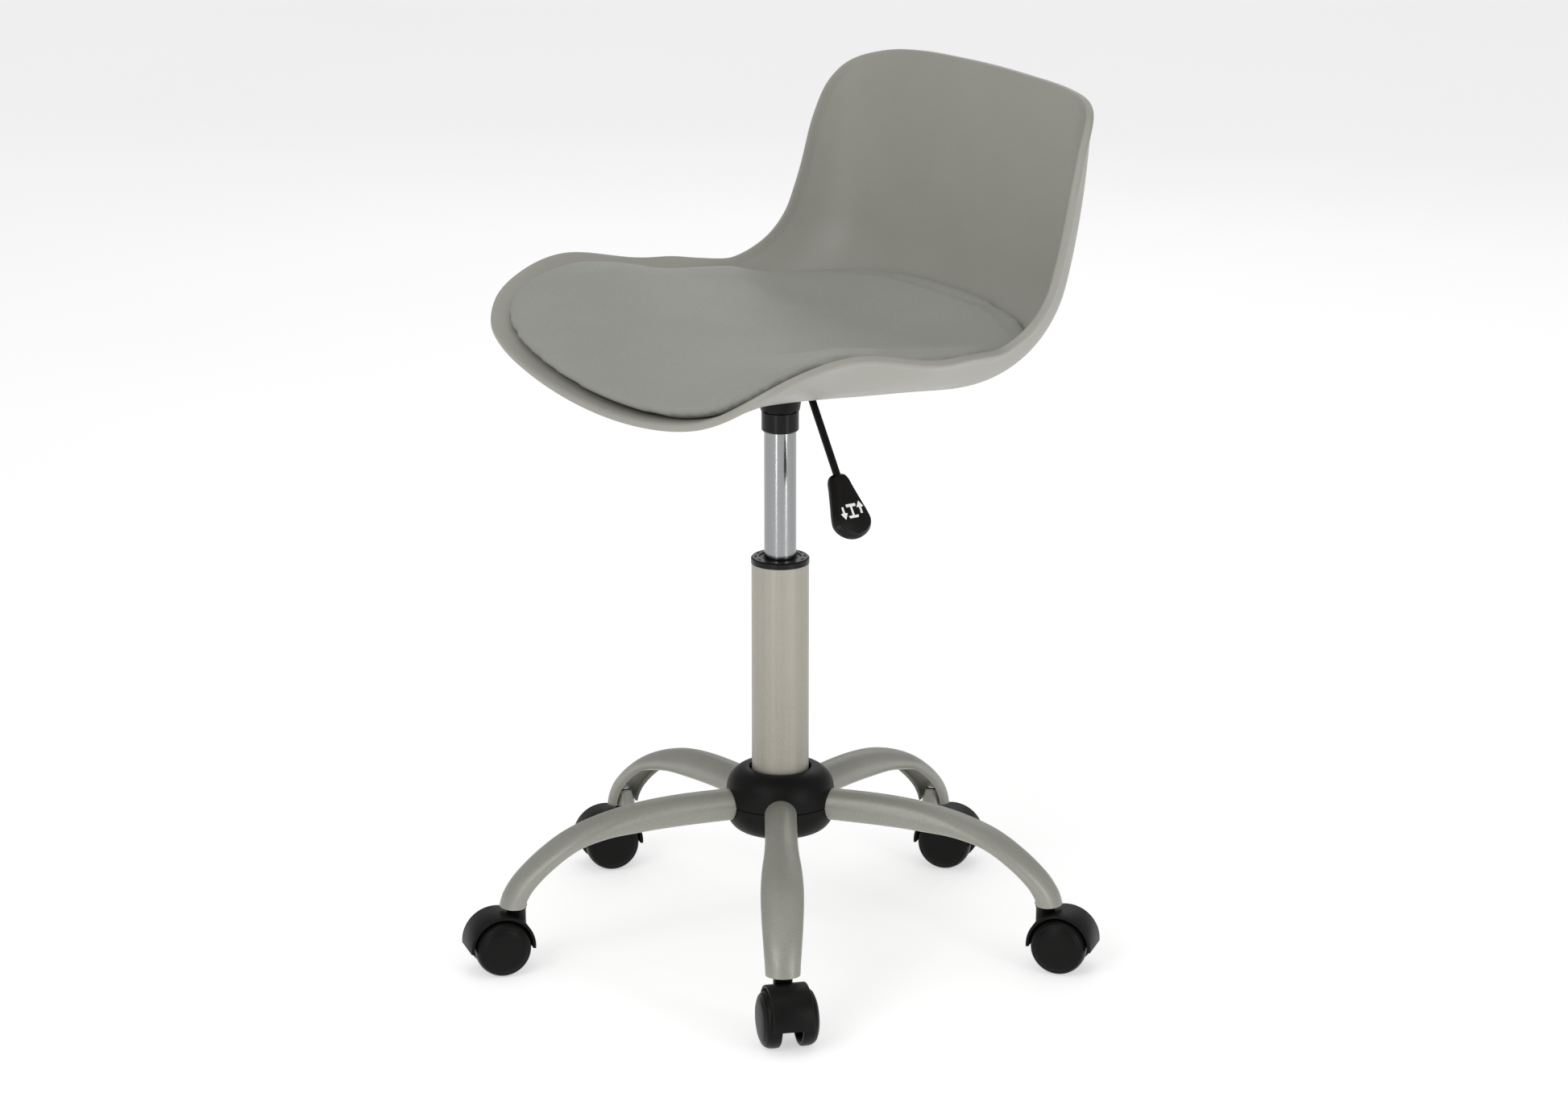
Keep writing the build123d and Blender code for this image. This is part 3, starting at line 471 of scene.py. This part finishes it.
RIM_HALF = (
    (0, 0), (0, 60), (0, 120), (0.5, 160), (5, 188), (17, 205), (32, 215), (80, 227.5), (126, 231.5),
    (170, 231), (208, 226), (236, 215), (262, 207), (333, 201), (446, 195), (508, 192), (543, 185.5),
    (562, 174), (573, 150), (578.5, 111), (581, 54), (582, 0),
)
PLATEAU_R = 70.0             # raised middle of the seat, over the seat plate
PLATEAU_Z = 522.0
WALL = 5.0
RIM_WIDTH = 26.0             # the rolled rim, from its edge to the plain wall


def build_shell():
    """One-piece seat and back, with a rolled rim all round."""
    count = 240
    loop = smooth_loop(half_to_loop(RIM_HALF), count)
    # Rolled rim: distance inside the rim, and offset outwards from the inside surface
    inside_rim = ((26, 0), (14, 0), (10, 0.25), (7.5, 0.1), (5, 0), (2.2, 0), (0.9, 0.25), (0.2, 0.95))
    outside_rim = (
        (0, 2.2), (0, 4.9), (0.3, 6.0), (1.1, 6.7), (2.4, 6.9), (5.2, 6.85), (7.2, 6.5), (9.2, 5.6),
        (11.5, 5.05), (16, 5.0), (26, 5.0),
    )
    start = [
        Vector((AXIS_S, 0)) + (q - Vector((AXIS_S, 0))).normalized() * (PLATEAU_R + 6) for q in loop
    ]
    steps = 26

    def row(pairs, offset):
        result = []
        for q in pairs:
            point, _, _, normal = seat_frame(q.x, q.y)
            result.append(point - normal * offset)
        return result

    def field(offset):
        rows = []
        edge = [edge_point(loop, k, RIM_WIDTH) for k in range(count)]
        for i in range(steps):
            t = i / steps
            rows.append(row([a.lerp(b, t) for a, b in zip(start, edge)], offset))
        return rows

    def disc(radius, z):
        result = []
        for q in loop:
            direction = (q - Vector((AXIS_S, 0))).normalized()
            result.append((direction.y * radius, direction.x * radius, z))
        return result

    # inside: raised middle, field, rim; then the outside back to the recess under the middle
    rows = [disc(radius, PLATEAU_Z) for radius in (1, 30, 60, PLATEAU_R - 2)]
    rows.append(disc(PLATEAU_R, PLATEAU_Z - 1.2))
    rows.append(disc(PLATEAU_R + 0.6, PLATEAU_Z - 3))
    rows += field(0.0)
    for inset, offset in inside_rim:
        rows.append(row([edge_point(loop, k, inset) for k in range(count)], offset))
    for inset, offset in outside_rim:
        rows.append(row([edge_point(loop, k, inset) for k in range(count)], offset))
    rows += list(reversed(field(WALL)))
    outer_roof = PLATEAU_Z - WALL
    rows.append(disc(PLATEAU_R - 1.0, FLOOR_Z - 2))
    rows.append(disc(PLATEAU_R - 1.5, outer_roof - 1))
    rows += [disc(radius, outer_roof) for radius in (PLATEAU_R - 3, 60, 30, 1)]
    net = bands(rows, cap_start=True, cap_end=True)
    piece = make_mesh("shell_skin", *net, shell_mat, smooth_angle=60, levels=1)
    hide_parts("seat_shell")
    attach(piece, "seat")


PAD_HALF = (
    (9, 0), (9, 60), (9.5, 115), (11, 152), (16, 178), (28, 198), (47, 208), (76, 212.5), (112, 214),
    (165, 212), (212, 208), (252, 201), (292, 190), (326, 177), (352, 159), (371, 127), (381, 82),
    (385, 40), (386, 0),
)


PAD_ROLL = 34.0              # width of the rounded edge
PAD_EDGE_LIFT = 23.4         # height of the top where the rounded edge ends
PAD_UNDER_LIFT = 1.6
PAD_HOLLOW = 14.6            # how far the underside rises over the shell's raised middle


def build_cushion():
    """Loose cushion: rounded edge, crowned top, and a hollow underneath in the middle."""
    count = 180
    loop = smooth_loop(half_to_loop(PAD_HALF), count)
    centre = Vector((195, 0))
    # Edge roll from the underside to the crown: distance inside the outline, and lift
    underside = ((PAD_ROLL, PAD_UNDER_LIFT), (16, 1.7), (7, 2.1), (2.6, 3.0))
    roll = (
        (0.5, 4.6), (0, 6.6), (0.8, 9.0), (2.8, 11.4), (6.6, 13.9), (12, 16.4), (20, 19.4),
        (PAD_ROLL, PAD_EDGE_LIFT),
    )
    crown_rise = 15.5

    def row(inset, lift):
        result = []
        for k in range(count):
            q = edge_point(loop, k, inset)
            point, _, _, normal = seat_frame(q.x, q.y)
            result.append(point + normal * lift)
        return result

    inner = [edge_point(loop, k, PAD_ROLL) for k in range(count)]
    steps = 16

    def field(lift_at):
        rows = []
        for i in range(1, steps):
            t = i / steps
            line = []
            for q in inner:
                p = q.lerp(centre, t)
                point, _, _, normal = seat_frame(p.x, p.y)
                line.append(point + normal * lift_at(t))
            rows.append(line)
        return rows

    def crown(t):
        return PAD_EDGE_LIFT + crown_rise * (1 - (1 - t) ** 2.2)

    def under(t):
        return PAD_UNDER_LIFT + PAD_HOLLOW * min(1.0, max(0.0, (t - 0.30) / 0.2))

    rows = list(reversed(field(under)))
    for inset, lift in underside:
        rows.append(row(inset, lift))
    for inset, lift in roll:
        rows.append(row(inset, lift))
    rows += field(crown)
    net = bands(rows, cap_start=True, cap_end=True)
    piece = make_mesh("seat_cushion", *net, pad_mat, smooth_angle=180)
    inflate(piece, cap=1.6 * MM, voxel=5 * MM)
    subdivide(piece, 1)
    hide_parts("seat_pad")
    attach(piece, "seat")


CLOTH_FRAMES = 20


def inflate(piece, cap, voxel):
    """Short cloth run under pressure; no vertex may end up further than cap from where it began."""
    scene = bpy.context.scene
    bpy.context.view_layer.objects.active = piece
    remesh = piece.modifiers.new("remesh", "REMESH")
    remesh.mode = "VOXEL"
    remesh.voxel_size = voxel
    remesh.use_smooth_shade = True
    bake(piece)
    start = [vertex.co.copy() for vertex in piece.data.vertices]
    cloth = piece.modifiers.new("cloth", "CLOTH")
    cloth.settings.use_pressure = True
    cloth.settings.uniform_pressure_force = 4.0
    cloth.settings.tension_stiffness = 25
    cloth.settings.compression_stiffness = 25
    cloth.settings.bending_stiffness = 4
    cloth.settings.effector_weights.gravity = 0.0
    cloth.point_cache.frame_start = 1
    cloth.point_cache.frame_end = CLOTH_FRAMES
    for step in range(1, CLOTH_FRAMES + 1):
        scene.frame_set(step)
    bake(piece)
    scene.frame_set(1)
    for vertex, old in zip(piece.data.vertices, start):
        move = vertex.co - old
        if move.length > cap:
            vertex.co = old + move * (cap / move.length)
    piece.data.shade_smooth()


def bake(piece):
    """Replaces a piece's mesh by what its modifiers give, and removes them."""
    graph = bpy.context.evaluated_depsgraph_get()
    result = bpy.data.meshes.new_from_object(piece.evaluated_get(graph))
    piece.modifiers.clear()
    piece.data = result


# ---- star base ----------------------------------------------------------------------------------

FIRST_ARM = -33.0            # direction of leg 1, in degrees from +X
ARM_STEP = 72.0

# Leg axis in its own vertical plane: radius, height, downward slope, half width, half depth,
# and how far the underside is pressed in (0 a closed tube, 1 an open channel)
LEG_STATIONS = (
    (30, 129.0, 0, 14.0, 14.0, 0), (95, 128.3, 2, 14.0, 14.0, 0), (135, 125.3, 7, 15.0, 12.8, 0),
    (165, 120.3, 14, 17.2, 10.2, 0), (192, 111.0, 28, 18.4, 8.6, 0.25), (215, 96.0, 42, 17.8, 8.8, 1),
    (233.5, 79.0, 54, 16.3, 9.8, 1), (242.2, 66.0, 68, 15.2, 11.0, 1), (244.8, 58.0, 90, 14.8, 11.8, 1),
)


def arm_angle(number):
    return math.radians(FIRST_ARM + ARM_STEP * (number - 1))


def leg_lengths():
    """Distance along the leg's axis at each station."""
    lengths = [0.0]
    for before, after in zip(LEG_STATIONS, LEG_STATIONS[1:]):
        lengths.append(lengths[-1] + math.hypot(after[0] - before[0], after[1] - before[1]))
    return lengths


def build_leg(number):
    """Round tube at the hub, pressed into an open channel towards its end."""
    lengths = leg_lengths()
    steps = 70
    wall = 2.4
    outer_count = 30
    inner_count = 26
    open_angle = math.radians(38)    # where the outside ends below the side, on each flank
    rows = []
    for i in range(steps + 1):
        length = lengths[-1] * i / steps
        r, z, slope, width, depth, press = (
            smooth_value(length, [station[item] for station in LEG_STATIONS], lengths)
            for item in range(6)
        )
        press = max(0.0, min(1.0, press))
        press = press * press * (3 - 2 * press)
        outward = Vector((math.sin(math.radians(slope)), 0, math.cos(math.radians(slope))))
        centre = Vector((r, 0, z))
        line = []
        for j in range(outer_count + 1):
            a = -open_angle + (math.pi + 2 * open_angle) * j / outer_count
            line.append(centre + Vector((0, width * math.cos(a), 0)) + outward * (depth * math.sin(a)))
        for j in range(1, inner_count):
            t = j / inner_count
            a = math.pi + open_angle + (math.pi - 2 * open_angle) * t
            closed = (width * math.cos(a), depth * math.sin(a))
            b = math.pi + open_angle - (math.pi + 2 * open_angle) * t
            pocket = ((width - wall) * math.cos(b), (depth - wall) * math.sin(b) + 0.4)
            w = closed[0] + (pocket[0] - closed[0]) * press
            v = closed[1] + (pocket[1] - closed[1]) * press
            line.append(centre + Vector((0, w, 0)) + outward * v)
        rows.append(line)
    net = bands(rows, cap_start=True, cap_end=True)
    turn = Matrix.Rotation(arm_angle(number), 4, "Z")
    piece = make_mesh(f"leg_skin_{number}", *placed(net, turn), leg_mat, smooth_angle=50)
    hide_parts(f"leg_{number}")
    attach(piece, "base")


# ---- casters ------------------------------------------------------------------------------------

CASTER_DIRECTIONS = (-20.5, 38.5, 38.5, -105.5, -105.5)    # degrees from +X
STEM_CIRCLE = 242.0
TRAIL = 16.0                 # from the stem's axis to the axle
WHEEL_R = 24.5


def caster_matrix(number):
    """Place of a caster: its stem's axis, turned the way it trails."""
    leg = arm_angle(number)
    stem = Matrix.Translation((STEM_CIRCLE * math.cos(leg), STEM_CIRCLE * math.sin(leg), 0))
    return stem @ Matrix.Rotation(math.radians(CASTER_DIRECTIONS[number - 1]), 4, "Z")


def arc_shell(outer, inner, half_width, start, end, steps, edge):
    """Bent plate about the Y axis, between two angles in degrees, with rounded edges."""
    rows = []
    for i in range(steps + 1):
        a = math.radians(start + (end - start) * i / steps)
        profile = (
            (outer - edge, -half_width), (outer - edge * 0.3, -half_width + edge * 0.3),
            (outer, -half_width + edge), (outer, 0), (outer, half_width - edge),
            (outer - edge * 0.3, half_width - edge * 0.3), (outer - edge, half_width),
            (inner + edge * 0.4, half_width), (inner, half_width - edge * 0.4), (inner, 0),
            (inner, -half_width + edge * 0.4), (inner + edge * 0.4, -half_width),
        )
        rows.append([
            (radius * math.cos(a), across, radius * math.sin(a))
            for radius, across in profile
        ])
    return bands(rows, cap_start=True, cap_end=True)


def build_caster(number):
    """Hood with its web, axle boss and stem boss in one piece, and two wheels."""
    place = caster_matrix(number)
    axle = Matrix.Translation((TRAIL, 0, WHEEL_R))
    turn_y = Matrix.Rotation(math.radians(-90), 4, "X")    # lathe axis Z becomes Y
    hood = placed(arc_shell(29.0, 26.3, 17.5, -4, 184, 60, 1.0), axle)
    web = placed(arc_shell(26.6, 6.0, 5.4, -3, 183, 48, 0.8), axle)
    axle_boss = placed(lathe((
        (3.02, -6.3), (7.9, -6.3), (8.5, -5.7), (8.5, 5.7), (7.9, 6.3), (3.02, 6.3), (3.02, -6.3),
    ), 48), axle @ turn_y)
    boss = lathe((
        (5.56, 36.5), (8.4, 36.5), (8.2, 48), (8.2, 54.6), (8.6, 55.0), (8.6, 56.2), (8.3, 56.5),
        (5.9, 56.5), (5.56, 56.1), (5.56, 36.5),
    ), 40)
    net = joined(hood, web, axle_boss, boss)
    piece = make_mesh(f"hood_skin_{number}", *placed(net, place), black_mat, smooth_angle=45)
    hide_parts(f"caster_hood_{number}")
    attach(piece, f"caster_{number}")

    profile = (
        (0, 25.0), (7, 24.9), (13, 24.55), (17, 23.9), (19.6, 22.9), (20.2, 22.35), (20.7, 22.3),
        (21.2, 22.2), (22.8, 20.6), (23.9, 18.4), (24.4, 16.0), (24.5, 13.5), (24.5, 11.0),
        (24.2, 9.7), (23.4, 9.0), (21.5, 9.0), (21.0, 9.5), (18.6, 19.5), (7.5, 21.0), (6.5, 9.2),
        (6.3, 9.0), (3.05, 9.0), (3.05, 21.3), (0, 21.3),
    )
    wheel = lathe(profile, 72)
    for side, sign in (("left", 1), ("right", -1)):
        spin = Matrix.Rotation(math.radians(-90 * sign), 4, "X")
        net = placed(wheel, place @ axle @ spin)
        piece = make_mesh(f"wheel_skin_{number}_{side}", *net, tread_mat, smooth_angle=35)
        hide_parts(f"wheel_{number}_{side}")
        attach(piece, f"wheel_{number}_{side}")


# ---- hub covers ---------------------------------------------------------------------------------

COVER_R = 47.5
COVER_WALL = 2.5
COVER_SEAM = 129.0            # the two covers meet half way up the legs
COVER_TOP = 160.0
COVER_BOTTOM = 103.0
COVER_GAP = 0.2              # each side of the seam
UPPER_OPENING_R = 27.0
LOWER_OPENING_R = 25.5
SHOULDER = (28.5, 138.0)     # centre of the upper cover's rounding: radius, height
BOWL = (31.5, 121.0)         # centre of the lower cover's rounding


def quarter(centre, radii, start, steps=14):
    """Points of a quarter ellipse, from the start angle in degrees, counter-clockwise."""
    points = []
    for i in range(steps + 1):
        a = math.radians(start + 90 * i / steps)
        points.append((centre[0] + radii[0] * math.cos(a), centre[1] + radii[1] * math.sin(a)))
    return points


def build_hub_covers():
    """Two moulded shells round the hub: the upper with a rounded shoulder, the lower a bowl."""
    inside = COVER_R - COVER_WALL
    above = COVER_SEAM + COVER_GAP
    below = COVER_SEAM - COVER_GAP
    roof = COVER_TOP - COVER_WALL
    base = COVER_BOTTOM + COVER_WALL
    upper = [(inside, above), (COVER_R - 0.4, above), (COVER_R, above + 0.4)]
    upper += quarter(SHOULDER, (COVER_R - SHOULDER[0], COVER_TOP - SHOULDER[1]), 0)
    upper += [(UPPER_OPENING_R + 0.6, COVER_TOP), (UPPER_OPENING_R, COVER_TOP - 0.6), (UPPER_OPENING_R, roof)]
    upper += quarter(SHOULDER, (inside - SHOULDER[0], roof - SHOULDER[1]), 0)[::-1]
    upper += [(inside, above)]
    lower = [(LOWER_OPENING_R, base), (LOWER_OPENING_R, COVER_BOTTOM)]
    lower += quarter(BOWL, (COVER_R - BOWL[0], BOWL[1] - COVER_BOTTOM), 270)
    lower += [(COVER_R, below - 0.4), (COVER_R - 0.4, below), (inside, below)]
    lower += quarter(BOWL, (inside - BOWL[0], BOWL[1] - base), 270)[::-1]
    lower += [(LOWER_OPENING_R, base)]
    for place, profile in (("top", upper), ("bottom", lower)):
        piece = make_mesh(f"hub_skin_{place}", *lathe(profile, 96), black_mat, smooth_angle=40)
        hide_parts(f"hub_cover_{place}")
        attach(piece, "base")


# ---- lever --------------------------------------------------------------------------------------

LEVER_SLOPE = math.radians(56.5)
LEVER_BEND = Vector((45, 0, 508))
PADDLE_START = 76.0          # from the rod's bend, along the rod


def build_paddle():
    """Flat paddle on the end of the lever, with a printed mark on its face."""
    down = Vector((math.cos(LEVER_SLOPE), 0, -math.sin(LEVER_SLOPE)))
    face = Vector((math.sin(LEVER_SLOPE), 0, math.cos(LEVER_SLOPE)))
    side = Vector((0, 1, 0))
    origin = LEVER_BEND + down * PADDLE_START
    half = (
        (0, 0), (0, 4.5), (1.0, 6.6), (5.6, 9.4), (12, 10.9), (26, 14.5), (38, 17.6), (45, 18.2),
        (51.5, 14.8), (56.3, 8.0), (58, 0),
    )
    loop = smooth_loop(half_to_loop(half), 96)
    centre = Vector((32, 0))

    def ring(inset, height):
        line = []
        for k, q in enumerate(loop):
            ahead = loop[(k + 1) % len(loop)] - loop[k - 1]
            inward = Vector((-ahead.y, ahead.x)).normalized()
            if inward.dot(centre - q) < 0:
                inward = -inward
            p = q + inward * inset
            line.append(origin + down * p.x + side * p.y + face * height)
        return line

    levels = (
        (2.6, -4.7), (1.0, -5.0), (0.25, -4.4), (0, -3.2), (0, 0.2), (0.3, 1.0), (0.9, 1.5),
        (2.0, 3.9), (2.5, 4.6), (3.3, 4.9),
    )
    rows = [ring(inset, height) for inset, height in levels]
    net = bands(rows, cap_start=True, cap_end=True)
    piece = make_mesh("lever_paddle_skin", *net, gloss_black_mat, smooth_angle=50)
    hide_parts("lever_paddle")
    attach(piece, "lever")

    # Printed mark: a plain stool between an upward and a downward arrow
    shapes = [
        ((-3.4, 24.6), (3.4, 24.6), (3.4, 26.4), (-3.4, 26.4)),
        ((-0.7, 26.4), (0.7, 26.4), (0.7, 32.0), (-0.7, 32.0)),
        ((-3.6, 32.0), (3.6, 32.0), (3.0, 33.6), (-3.0, 33.6)),
        ((6.2, 23.4), (8.6, 27.2), (6.9, 27.7), (6.9, 31.5), (5.5, 31.5), (5.5, 27.7), (3.8, 27.2)),
        ((-6.2, 34.0), (-3.8, 30.2), (-5.5, 29.7), (-5.5, 25.9), (-6.9, 25.9), (-6.9, 29.7), (-8.6, 30.2)),
    ]
    drawn_middle = 29
    mark_middle = 35.0
    mark_scale = 1.4
    mark_height = 4.75
    mark_thickness = 0.3
    nets = []
    for shape in shapes:
        low = []
        for x, y in shape:
            along = mark_middle + (y - drawn_middle) * mark_scale
            low.append(origin + down * along + side * x * mark_scale + face * mark_height)
        high = [point + face * mark_thickness for point in low]
        nets.append(bands([low, high], cap_start=True, cap_end=True))
    piece = make_mesh("lever_mark", *joined(*nets), print_mat, smooth_angle=30)
    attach(piece, "lever")


build_shell()
build_cushion()
build_hub_covers()
for leg_number in range(1, 6):
    build_leg(leg_number)
    build_caster(leg_number)
build_paddle()


# ---- stage, light and camera --------------------------------------------------------------------

def build_stage():
    """Plain pale floor that glows a little, so that it reads as white paper."""
    size = 12.0
    corners = [(-size, -size, 0), (size, -size, 0), (size, size, 0), (-size, size, 0)]
    mesh = bpy.data.meshes.new("floor")
    mesh.from_pydata(corners, [], [(0, 1, 2, 3)])
    floor = bpy.data.objects.new("floor", mesh)
    bpy.context.scene.collection.objects.link(floor)
    material, tree, shader, coords = node_tree("floor_paper")
    mottle = noise_texture(tree, coords, 900, 2.0)
    tree.links.new(ramp(tree, mottle, ((0.3, 0.64), (0.7, 0.66))), shader.inputs["Base Color"])
    shader.inputs["Roughness"].default_value = 0.9
    shader.inputs["Emission Color"].default_value = (1, 1, 1, 1)
    shader.inputs["Emission Strength"].default_value = 0.54
    mesh.materials.append(material)


def area_light(name, place, target, width, height, power):
    """Rectangular light aimed at a target, not seen by the camera itself."""
    data = bpy.data.lights.new(name, "AREA")
    data.shape = "RECTANGLE"
    data.size = width
    data.size_y = height
    data.energy = power
    light = bpy.data.objects.new(name, data)
    bpy.context.scene.collection.objects.link(light)
    light.location = place
    direction = Vector(target) - Vector(place)
    light.rotation_euler = direction.to_track_quat("-Z", "Y").to_euler()
    light.visible_camera = False


CAMERA_AZIMUTH = math.radians(56.5)
CAMERA_DISTANCE = 4.0
CAMERA_HEIGHT = 1.515
CAMERA_DOWN = math.radians(16.13)
CAMERA_TURN = math.radians(0.047)    # puts the column a hair left of the middle
IMAGE_WIDTH = 1946
FOCAL_LENGTH = 5957                  # in widths of one image point
SENSOR_WIDTH = 36.0


def around(azimuth_from_camera, distance, height):
    """Place at an azimuth in degrees from the camera, seen from the column's axis."""
    angle = CAMERA_AZIMUTH + math.radians(azimuth_from_camera)
    return (distance * math.sin(angle), -distance * math.cos(angle), height)


build_stage()
area_light("key", around(-38, 2.6, 2.3), (0, 0, 0.45), 1.5, 1.5, 21)
area_light("fill", around(48, 2.8, 1.6), (0, 0, 0.40), 1.3, 1.8, 7)
area_light("top", (0, 0, 3.2), (0, 0, 0.4), 2.4, 2.4, 18)
area_light("back", around(170, 2.8, 1.8), (0, 0, 0.5), 2.0, 1.6, 9)
# two low strips that draw upright lines on the polished tube
area_light("strip_left", around(-27, 1.5, 0.42), (0, 0, 0.42), 0.09, 0.8, 2.4)
area_light("strip_right", around(43, 1.5, 0.42), (0, 0, 0.42), 0.13, 0.8, 3.2)

world = bpy.data.worlds.new("studio")
bpy.context.scene.world = world
world.use_nodes = True
world.node_tree.nodes["Background"].inputs["Color"].default_value = (1.0, 1.0, 1.0, 1)
world.node_tree.nodes["Background"].inputs["Strength"].default_value = 0.45

camera_data = bpy.data.cameras.new("camera")
camera_data.sensor_width = SENSOR_WIDTH
camera_data.lens = SENSOR_WIDTH * FOCAL_LENGTH / IMAGE_WIDTH
camera = bpy.data.objects.new("camera", camera_data)
bpy.context.scene.collection.objects.link(camera)
camera.location = around(0, CAMERA_DISTANCE, CAMERA_HEIGHT)
camera.rotation_euler = (math.radians(90) - CAMERA_DOWN, 0, CAMERA_AZIMUTH - CAMERA_TURN)
bpy.context.scene.camera = camera
bpy.context.scene.view_settings.view_transform = "Standard"
